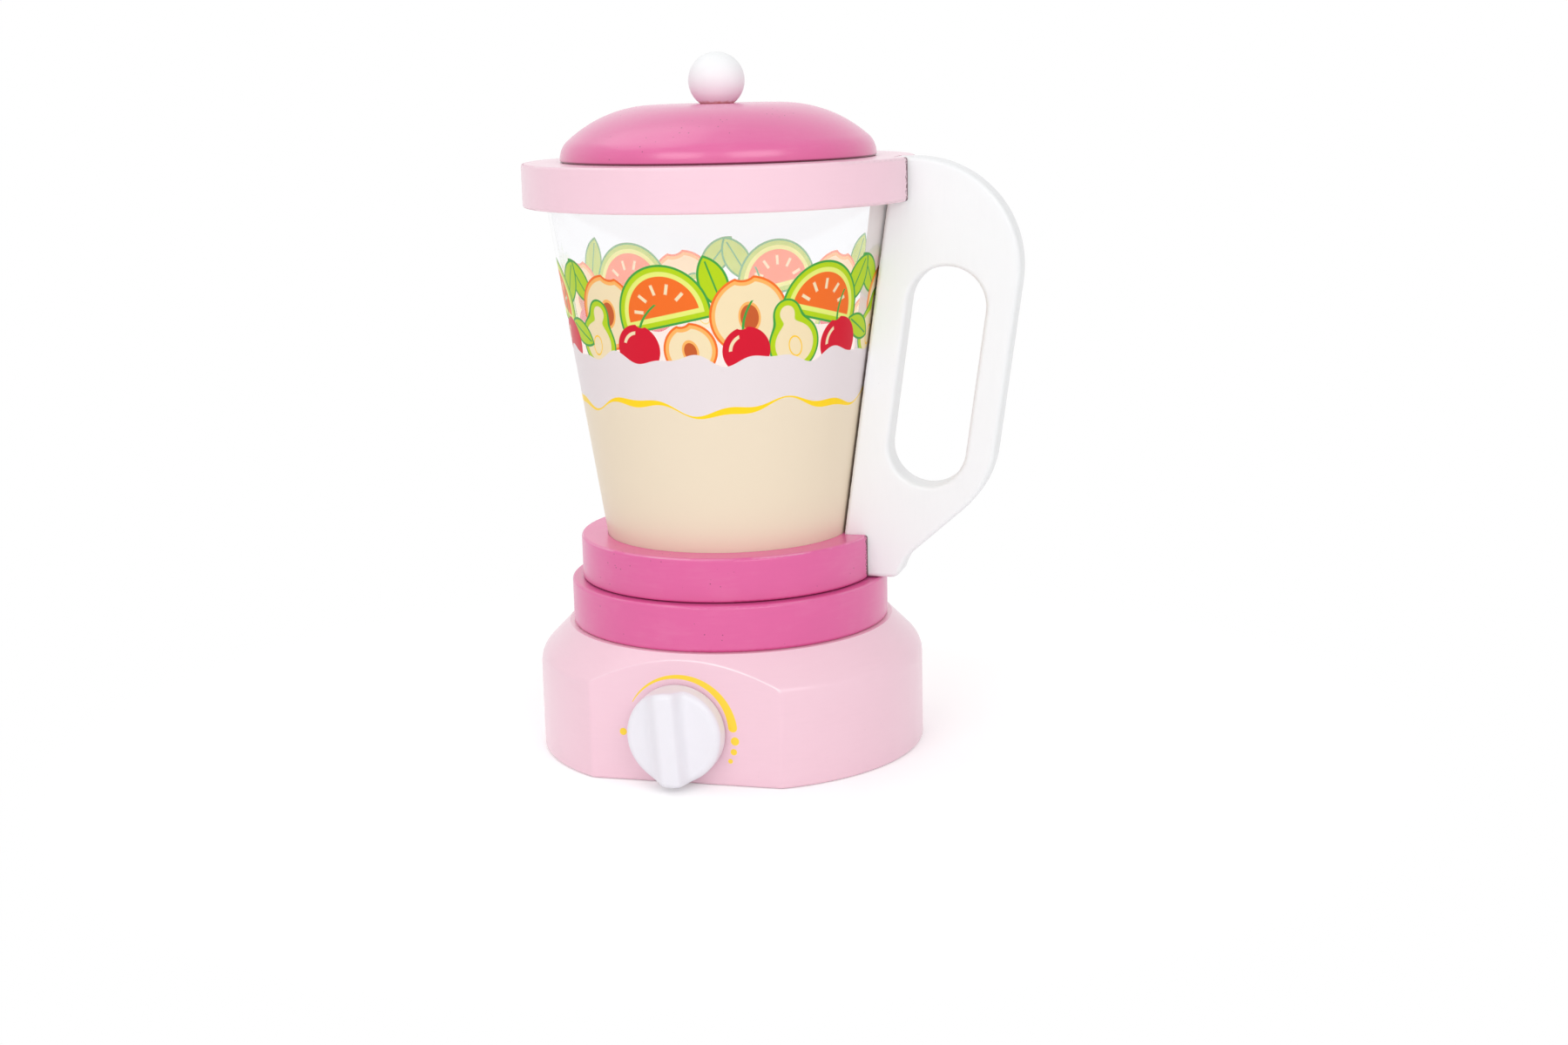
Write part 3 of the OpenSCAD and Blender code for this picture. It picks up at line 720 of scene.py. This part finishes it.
def paintedArrisHighlight(place, x, y, z):
    highlight = arrisHighlight
    slope = (baseRadius - baseTopRadius) / (baseHigh[2] - baseShape["sideTop"])
    cone = (baseHigh[2] - z) * slope + baseTopRadius
    turned = cone.softLeast(baseRadius, highlight["softShare"] * baseShape["frontRound"])
    fromArris = abs(turned - (x * x + baseLow[1] ** 2).root())
    line = inside(fromArris - highlight["half"], highlight["soft"]) * ramp(z, highlight["low"], highlight["high"])
    strength = patchesOn(place, highlight) * highlight["patchy"] + highlight["steady"]
    growth = ramp(x, highlight["left"], highlight["right"]) * (1 - highlight["faint"]) + highlight["faint"]
    return line * (y < baseLow[1] + highlight["depth"]) * strength * growth


def makeBasePaint():
    material, wire = newMaterial("palePinkBase")
    place = placeOf(wire)
    x, y, z = partsOf(place)
    colour, roughness, height = paintCoat(place, palePink)
    mark = dialShape(x - knobMiddle[0], z - knobMiddle[2]) * (y < baseLow[1] + dialMark["depth"])
    pale = paler(palePink["colour"], arrisHighlight["pale"])
    # painted highlight: a pale line along the arris
    colour = mixColour(paintedArrisHighlight(place, x, y, z), colour, pale)
    colour = mixColour(mark, colour, dialMark["yellow"])
    finishMaterial(paintShader(palePink, colour, roughness, height + mark * dialMark["rise"]))
    return material


# white board handle, with painted shade: a dark line along the edge that faces the clear wall,
# standing in for the shadow in the narrow gap to the wall
gapShade = {"colour": srgb(112, 94, 84), "grain": 1.6, "ragged": 0.8, "thinner": 0.15, "soft": 0.3}


def makeHandlePaint():
    material, wire = newMaterial("whiteHandle")
    place = placeOf(wire)
    x, y, z = partsOf(place)
    colour, roughness, height = paintCoat(place, whitePaint, grainAlong=(9.0, 1.0, 1.0))
    ragged = noise(place, gapShade["grain"], detail=3.0, roughness=0.7) * gapShade["ragged"]
    # painted shade: the dark line stands in for the shadow in the gap between handle and wall
    line = inside(x - handleEdge(z) - ragged + gapShade["thinner"], gapShade["soft"])
    colour = mixColour(line, colour, gapShade["colour"])
    finishMaterial(paintShader(whitePaint, colour, roughness, height))
    return material


# white ball: brushed coat that thins to bare wood round the foot
ballFoot = {
    "colour": srgb(205, 120, 80), "cover": 0.8, "grain": 2.0, "ragged": 1.8,
    "bareFrom": 0.9, "coatFrom": -0.2,
}


def makeBallPaint():
    material, wire = newMaterial("whiteBall")
    place = placeOf(wire)
    z = partsOf(place)[2]
    colour, roughness, height = paintCoat(place, ballPaint, grainAlong=(3.0, 3.0, 0.6))
    ragged = noise(place, ballFoot["grain"], detail=3.0) * ballFoot["ragged"]
    bare = ramp(ragged - z + ballLow[2], ballFoot["coatFrom"], ballFoot["bareFrom"])
    colour = mixColour(bare * ballFoot["cover"], colour, ballFoot["colour"])
    finishMaterial(paintShader(ballPaint, colour, roughness, height))
    return material


slotGap = 0.2
slotHalf = handleHigh[1] + slotGap
dress(makeBasePaint(), "baseBlock")
collarPaint = makePaint("palePinkCollar", palePink, "jug_collar", highlight=0.25, slotHalf=slotHalf)
dress(collarPaint, "jug_collar")
ringPaint = makePaint("deepPinkRing", deepPink, "jug_ring", highlight=0.45, slotHalf=slotHalf, shadeLine=0.5)
dress(ringPaint, "jug_ring")
dress(makePaint("deepPinkPlate", deepPink, "base_plate", highlight=0.15), "base_plate")
dress(makePaint("deepPinkLid", lidPaint, "lid_dome", shadeLine=0.7), "lidDome")
dress(makeHandlePaint(), "jugHandle")
dress(makeBallPaint(), "lid_ball")
print("paint: pale pink, deep pink, white")


# Moulded plastic: fine grained surface with faint clouds
plasticDetail = {
    "cloud": 6.0, "cloudHeight": 0.05, "cloudDull": 0.08, "fine": 0.5, "fineDull": 0.12,
    "dark": 0.97, "pale": 0.06,
}


def makePlastic(name, colour, roughness, grain):
    detail = plasticDetail
    material, wire = newMaterial(name)
    place = placeOf(wire)
    cloud = noise(place, detail["cloud"])
    fine = noise(place, detail["fine"])
    tint = mixColour(cloud, darker(colour, detail["dark"]), paler(colour, detail["pale"]))
    dull = (fine - 0.5) * detail["fineDull"] + (cloud - 0.5) * detail["cloudDull"]
    finishMaterial(principled(
        wire, Base_Color=tint, Roughness=dull + roughness,
        Normal=bumped(fine * grain + cloud * detail["cloudHeight"]),
    ))
    return material


# Bare wood: fibres along X under soft year rings
woodDetail = {
    "bend": 18.0, "bendReach": 15.0, "slant": 0.66, "ringTone": 0.22,
    "fibre": 0.7, "fibreTone": 0.9, "fibreHeight": 0.06, "fibreDull": 0.2, "roughness": 0.5,
    "pore": 0.5, "poreFrom": 0.66, "poreTo": 0.72, "poreTone": 0.5, "poreDark": 0.6, "poreDepth": 0.08,
}


def makeWood(name, pale, dark):
    wood = woodDetail
    material, wire = newMaterial(name)
    place = placeOf(wire)
    y, z = partsOf(place)[1:]
    bend = noise(stretched(place, (0.25, 1.0, 1.0)), wood["bend"])
    rings = (y + z * wood["slant"] + bend * wood["bendReach"]).sine()
    fibre = noise(stretched(place, (0.06, 1.0, 1.0)), wood["fibre"], detail=3.0)
    pores = noise(stretched(place, (0.1, 1.0, 1.0)), wood["pore"], detail=1.0)
    pores = ramp(pores, wood["poreFrom"], wood["poreTo"])
    share = (rings * wood["ringTone"] + fibre * wood["fibreTone"]).clip()
    colour = mixColour(share, pale, dark)
    colour = mixColour(pores * wood["poreTone"], colour, darker(dark, wood["poreDark"]))
    finishMaterial(principled(
        wire, Base_Color=colour, Roughness=fibre * wood["fibreDull"] + wood["roughness"],
        Normal=bumped(fibre * wood["fibreHeight"] - pores * wood["poreDepth"]),
    ))
    return material


# Pressed board: short fibres every way
boardDetail = {
    "fibre": 1.2, "fibreHeight": 0.08, "fleck": 1.5, "fleckDull": 0.2, "roughness": 0.6,
    "darkTo": 0.7, "paleFrom": 1.3,
}


def makeBoard(name, pale, dark):
    board = boardDetail
    material, wire = newMaterial(name)
    place = placeOf(wire)
    fibre = noise(stretched(place, (1.0, 3.0, 1.0)), board["fibre"], detail=4.0, roughness=0.7)
    fleck = noise(stretched(place, (3.0, 1.0, 1.0)), board["fleck"], detail=4.0, roughness=0.7)
    colour = mixColour(ramp(fibre + fleck, board["darkTo"], board["paleFrom"]), dark, pale)
    finishMaterial(principled(
        wire, Base_Color=colour, Roughness=fleck * board["fleckDull"] + board["roughness"],
        Normal=bumped(fibre * board["fibreHeight"]),
    ))
    return material


# Plated steel: fine turning marks and duller patches
steelDetail = {
    "mark": 0.4, "markHeight": 0.02, "markDull": 0.15, "patch": 3.0, "patchDull": 0.2, "roughness": 0.15,
    "dark": 0.8,
}


def makeSteel(name, colour):
    steel = steelDetail
    material, wire = newMaterial(name)
    place = placeOf(wire)
    marks = noise(stretched(place, (1.0, 1.0, 6.0)), steel["mark"])
    patches = noise(place, steel["patch"])
    dull = marks * steel["markDull"] + patches * steel["patchDull"]
    finishMaterial(principled(
        wire, Base_Color=mixColour(patches, darker(colour, steel["dark"]), colour), Metallic=1.0,
        Roughness=dull + steel["roughness"], Normal=bumped(marks * steel["markHeight"]),
    ))
    return material


dress(makePlastic("whitePlastic", srgb(236, 234, 241), roughness=0.32, grain=0.012), "knobGrip")
dress(
    makePlastic("nylon", srgb(232, 228, 216), roughness=0.45, grain=0.02),
    "axle_bush", "knob_axle", "click_wheel",
)
dress(
    makeWood("bareWood", srgb(231, 203, 160), srgb(196, 153, 104)),
    "centring_disc", "centre_dowel", "jug_floor", "lid_plug", "lid_dowel",
)
dress(makeBoard("hardboard", srgb(176, 136, 98), srgb(120, 84, 56)), "bottom_cover", "knob_washer")
dress(
    makeSteel("platedSteel", srgb(200, 202, 206)),
    "cover_screws", "plate_screws", "click_spring", "spring_screws",
    "axle_washer", "axle_screw", "handle_screws",
)
print("plain finishes: plastic, nylon, wood, board, steel")


# Print on the clear wall: a cream drink, a wavy band of foam with a yellow line, and plain fruit above.
# The outer face has full colours; the inner face shows the back of the print, paled by a painted glow

printLook = {
    "cream": srgb(233, 218, 194), "foam": srgb(229, 219, 221), "yellow": srgb(252, 212, 30),
    "green": srgb(64, 158, 66), "lime": srgb(178, 208, 22), "mist": srgb(226, 234, 120),
    "coral": srgb(238, 110, 36), "blush": srgb(247, 178, 96), "flesh": srgb(239, 220, 180),
    "red": srgb(210, 18, 46), "stone": srgb(196, 92, 44), "gold": srgb(250, 200, 50),
    "repeats": 3, "innerCover": 0.7, "innerGlow": 0.45,
    "seam": (-17.0, 6.0), "tape": srgb(213, 202, 199), "tapeCover": 0.75,
    # heights, with waves as (times round, shift, rise)
    "foamTop": 146.5, "foamWaves": [(12.0, 1.0, 1.5), (21.0, 0.4, 0.9)],
    "creamTop": 129.5, "creamWaves": [(6.0, 0.5, 2.2), (15.0, 2.0, 1.0)],
    "lineHalf": 0.75, "lineWaves": [(9.0, 0.0, 0.5)],
    # kind, degrees round, height, turn in degrees, size; the hindmost first
    "fruit": [
        ("leaf", -58.0, 172.0, 40.0, 12.0), ("leaf", -3.0, 173.0, 20.0, 12.0),
        ("leaf", 54.0, 171.0, -32.0, 12.0), ("peach", -44.0, 162.0, -10.0, 13.0),
        ("melon", -21.0, 162.0, 12.0, 17.0), ("peach", 9.0, 161.5, 8.0, 13.5),
        ("melon", 37.0, 162.0, -14.0, 16.5), ("pear", -52.0, 151.0, -16.0, 9.4),
        ("cherry", -32.0, 150.0, -12.0, 8.4), ("peach", -12.0, 150.0, 14.0, 9.4),
        ("pear", 26.0, 151.0, 18.0, 9.6), ("cherry", 8.0, 149.5, 10.0, 8.2),
        ("leaf", 58.0, 154.0, 62.0, 10.0), ("cherry", 46.0, 150.0, 14.0, 8.6),
    ],
}


def circle(p, q, atP, atQ, radius):
    return length(p - atP, q - atQ) - radius


# angle round a point, folded into equal sectors: distance across the sector's middle line
def spokes(p, q, count):
    turn = p.math("ARCTAN2", q, p)
    folded = turn.math("WRAP", turn, math.pi / count, -math.pi / count)
    return abs(folded.sine()) * length(p, q)


# each fruit is a list of (mask, colour), the outline first; p runs across it, q up, both in mm
def melon(p, q, size, ink):
    rim = circle(p, q, 0.0, 0.0, size).most(q * -1.0 - size * 0.25)
    seeds = spokes(p, q, 11).most(abs(length(p, q) - size * 0.52) / 2.2 - 0.25) - 0.55
    return [
        (inside(rim), ink["green"]), (inside(rim + 0.8), ink["lime"]), (inside(rim + 2.4), ink["mist"]),
        (inside(rim + 4.0), ink["coral"]), (inside(seeds) * inside(rim + 5.6), ink["flesh"]),
    ]


def peach(p, q, size, ink):
    cleft = circle(p, q, 0.0, size * 1.3, size * 0.4)
    skin = circle(p, q, 0.0, 0.0, size).most(cleft * -1.0)
    stone = circle(p * 1.4, q, 0.0, size * -0.05, size * 0.32)
    return [
        (inside(skin), ink["coral"]), (inside(skin + 0.8), ink["blush"]),
        (inside(skin + 2.0), ink["flesh"]), (inside(stone - 1.0), ink["blush"]),
        (inside(stone), ink["stone"]),
    ]


def cherry(p, q, size, ink):
    dip = circle(p, q, 0.0, size * 1.25, size * 0.35)
    ball = circle(p, q, 0.0, 0.0, size).most(dip * -1.0)
    climb = q - size * 0.7
    stem = (abs(p - climb * climb * (0.35 / size)) - 0.45).most(climb * -1.0).most(climb - size * 1.3)
    shine = (abs(length(p, q) - size * 0.66) - 0.55).most(p + size * 0.2).most(size * 0.1 - q)
    return [(inside(stem), ink["green"]), (inside(ball), ink["red"]), (inside(shine), ink["flesh"])]


def pear(p, q, size, ink):
    neck = circle(p, q, 0.0, size * 1.15, size * 0.52)
    skin = circle(p, q, 0.0, 0.0, size).softLeast(neck, size * 0.7)
    core = circle(p * 1.5, q, 0.0, -size * 0.1, size * 0.36)
    return [
        (inside(skin), ink["green"]), (inside(skin + 0.7), ink["lime"]),
        (inside(skin + 2.4), ink["flesh"]), (inside(abs(core) - 0.3), ink["gold"]),
    ]


def leaf(p, q, size, ink):
    bend = size * 0.55
    blade = circle(p, q, -bend, 0.0, size * 0.98).most(circle(p, q, bend, 0.0, size * 0.98))
    vein = (abs(p) - 0.3).most(abs(q) - size * 0.62)
    return [
        (inside(blade), ink["green"]), (inside(blade + 0.8), ink["lime"]), (inside(vein), ink["green"]),
    ]


fruitKinds = {"melon": melon, "peach": peach, "cherry": cherry, "pear": pear, "leaf": leaf}


def layOver(colour, cover, layers):
    for mask, tint in layers:
        colour = mixColour(mask, colour, tint)
        cover = cover.most(mask)
    return colour, cover


# a height plus waves round the wall
def wavyHeight(turn, height, waves):
    for times, shift, rise in waves:
        height = (turn * times + shift).sine() * rise + height
    return height


# the print's colour and how much of the film it covers
def printInks(turn, z, radius):
    ink = printLook
    part = math.pi / ink["repeats"]
    middle = math.radians(view["around"] - 90)  # the first repeat faces the camera
    cover = z * 0.0
    colour = mixColour(cover, ink["flesh"], ink["flesh"])
    for kind, around, height, lean, size in ink["fruit"]:
        shifted = turn - (math.radians(around) + middle)
        aside = shifted.math("WRAP", shifted, part, -part) * radius
        up = z - height
        cosLean, sinLean = math.cos(math.radians(lean)), math.sin(math.radians(lean))
        p = aside * cosLean + up * sinLean
        q = up * cosLean - aside * sinLean
        colour, cover = layOver(colour, cover, fruitKinds[kind](p, q, size, ink))
    fromFoam = z - wavyHeight(turn, ink["foamTop"], ink["foamWaves"])
    fromCream = z - wavyHeight(turn, ink["creamTop"], ink["creamWaves"])
    line = abs(fromCream) - wavyHeight(turn, ink["lineHalf"], ink["lineWaves"])
    return layOver(colour, cover, [
        (inside(fromFoam), ink["foam"]), (inside(fromCream), ink["cream"]), (inside(line), ink["yellow"]),
    ])


# clear film: a tint for what shows through, and gloss that grows from faceOn to grazing
filmLook = {
    "tint": (0.995, 0.995, 1.0, 1.0), "faceOn": 0.035, "grazing": 0.9, "power": 5.0,
    "haze": 8.0, "inkDull": 0.1, "inkRoughness": 0.25, "glossDull": 0.06, "glossRoughness": 0.03,
    "ripple": 16.0, "rippleHeight": 0.25, "rippleStrength": 0.15,
}


def makePrint():
    ink, film = printLook, filmLook
    material, wire = newMaterial("printedWall")
    place = placeOf(wire)
    x, y, z = partsOf(place)
    turn = x.math("ARCTAN2", y, x)
    radius = wallRadius(z)
    colour, cover = printInks(turn, z, radius)
    # the rolled film's glued overlap behind the handle
    seamStart, seamEnd = (math.radians(angle) for angle in ink["seam"])
    seam = inside((turn - seamEnd).most(seamStart - turn) * radius, soft=0.3) * (1 - cover)
    colour = mixColour(seam, colour, ink["tape"])
    cover = cover.most(seam * ink["tapeCover"])
    # from outside the print is dense; from inside it covers a little less, and a painted glow in its
    # colours stands in for the light behind it that shines through
    innerFace = length(x, y) < radius - wallShape["thickness"] / 2
    behind = wire.node("ShaderNodeNewGeometry", out="Backfacing")
    cover = cover * (1 - innerFace * (1 - ink["innerCover"])) * (1 - behind)
    # painted light: the inner face glows in the print's colours
    glow = mixColour(innerFace * ink["innerGlow"], black, colour)
    haze = noise(place, film["haze"])
    ripple = noise(place, film["ripple"], detail=1.0) * film["rippleHeight"]
    normal = bumped(ripple, film["rippleStrength"])
    printed = principled(
        wire, Base_Color=colour, Roughness=haze * film["inkDull"] + film["inkRoughness"], Normal=normal,
        Specular_IOR_Level=0.15, Emission_Color=glow, Emission_Strength=1.0,
    )
    facing = wire.node("ShaderNodeLayerWeight", {}, {"Blend": 0.5}, out="Facing")
    gloss = principled(
        wire, Base_Color=white, Metallic=1.0, Normal=normal,
        Roughness=haze * film["glossDull"] + film["glossRoughness"],
    )
    through = wire.node("ShaderNodeBsdfTransparent", {}, {"Color": film["tint"]})
    clear = mixShader((facing ** film["power"]) * film["grazing"] + film["faceOn"], through, gloss)
    finishMaterial(mixShader(cover, clear, printed))
    return material


# Floor, light and camera, in metres

stageLook = {
    "half": 4.0, "drop": 0.0001, "colour": srgb(250, 250, 250), "seenGlow": 0.18, "worldLevel": 0.62,
    "fadeFrom": 0.09, "fadeTo": 0.26, "aim": (0.0, 0.0, 0.12),
}


# rays that show the white background: straight from the camera, in gloss and through glass
def seenRays(wire):
    camera = wire.node("ShaderNodeLightPath", out="Is Camera Ray")
    return camera.most(camera.other("Is Glossy Ray")).most(camera.other("Is Transmission Ray"))


# pale paper that keeps the shadow near the object and turns plain white further out
def makeFloor():
    half, level = stageLook["half"], -stageLook["drop"]
    corners = [(-half, -half, level), (half, -half, level), (half, half, level), (-half, half, level)]
    mesh = bpy.data.meshes.new("floor")
    mesh.from_pydata(corners, [], [(0, 1, 2, 3)])
    floor = bpy.data.objects.new("floor", mesh)
    scene.collection.objects.link(floor)
    material, wire = newMaterial("floorPaper")
    x, y = partsOf(placeOf(wire))[:2]
    seen = seenRays(wire)
    far = smooth(ramp(length(x, y) * mm, stageLook["fadeFrom"], stageLook["fadeTo"]))
    lit = principled(
        wire, Base_Color=stageLook["colour"], Roughness=0.9, Specular_IOR_Level=0.0,
        Emission_Color=mixColour(seen * stageLook["seenGlow"], black, white), Emission_Strength=1.0,
    )
    plain = wire.node("ShaderNodeEmission", {}, {"Color": white, "Strength": 1.0})
    finishMaterial(mixShader(seen * far, lit, plain))
    mesh.materials.append(material)


def makeWorld():
    world = bpy.data.worlds.new("studio")
    scene.world = world
    world.use_nodes = True
    world.node_tree.nodes.clear()
    wire = Wire(world.node_tree)
    level = seenRays(wire) * (1 - stageLook["worldLevel"]) + stageLook["worldLevel"]
    background = wire.node("ShaderNodeBackground", {}, {"Color": white, "Strength": level})
    wire.node("ShaderNodeOutputWorld", {}, {"Surface": background})


# soft boxes: level is what each adds to a white card at the object,
# and one that isn't mirrored leaves no glint
softBoxes = {
    "key": {"place": (-0.44, -1.76, 1.15), "size": (1.1, 0.9), "level": 0.17},
    "fill": {"place": (1.25, -1.30, 1.15), "size": (1.3, 0.9), "level": 0.20},
    "top": {"place": (-0.90, 0.10, 1.90), "size": (1.6, 1.4), "level": 0.14},
    "front": {"place": (0.30, -1.90, 0.30), "size": (1.6, 0.5), "level": 0.08, "mirrored": False},
    "back": {"place": (-0.40, 1.80, 1.10), "size": (1.6, 1.0), "level": 0.15, "mirrored": False},
}


def makeLamps():
    for name, box in softBoxes.items():
        lamp = bpy.data.lights.new(name, "AREA")
        lamp.shape = "RECTANGLE"
        lamp.size, lamp.size_y = box["size"]
        away = np.array(box["place"]) - np.array(stageLook["aim"])
        lamp.energy = box["level"] * math.pi ** 2 * float(away @ away)
        holder = bpy.data.objects.new(name, lamp)
        scene.collection.objects.link(holder)
        holder.location = box["place"]
        holder.visible_glossy = box.get("mirrored", True)
        holder.rotation_mode = "QUATERNION"
        holder.rotation_quaternion = Vector(away).to_track_quat("Z", "Y")


# the view: distance and height of the lens, angles in degrees, lens and frame width in mm
view = {
    "distance": 0.7845, "height": 0.242, "around": 16.3, "down": 11.72, "aside": 1.47, "roll": -1.318,
    "lens": 50.348, "frame": 36.0, "nearest": 0.01,
}


def makeCamera():
    around, down, aside, roll = (math.radians(view[k]) for k in ("around", "down", "aside", "roll"))
    turn = np.array([
        [math.cos(around), -math.sin(around), 0], [math.sin(around), math.cos(around), 0], [0, 0, 1],
    ])
    level = math.cos(down)
    ahead = np.array([math.sin(aside) * level, math.cos(aside) * level, -math.sin(down)])
    right = np.array([math.cos(aside), -math.sin(aside), 0])
    up = np.cross(right, ahead)
    tiltedRight = math.cos(roll) * right + math.sin(roll) * up
    tiltedUp = -math.sin(roll) * right + math.cos(roll) * up
    axes = turn @ np.stack([tiltedRight, tiltedUp, -ahead], 1)
    spot = turn @ np.array([0, -view["distance"], view["height"]])
    camera = bpy.data.objects.new("camera", bpy.data.cameras.new("camera"))
    camera.data.lens, camera.data.sensor_width = view["lens"], view["frame"]
    camera.data.clip_start = view["nearest"]
    camera.matrix_world = Matrix([[*axes[i], spot[i]] for i in range(3)] + [[0, 0, 0, 1]])
    scene.collection.objects.link(camera)
    scene.camera = camera


dress(makePrint(), "clearWall")
makeFloor()
makeWorld()
makeLamps()
makeCamera()
scene.view_settings.view_transform = "Standard"
print("stage: floor, world, lamps and camera")
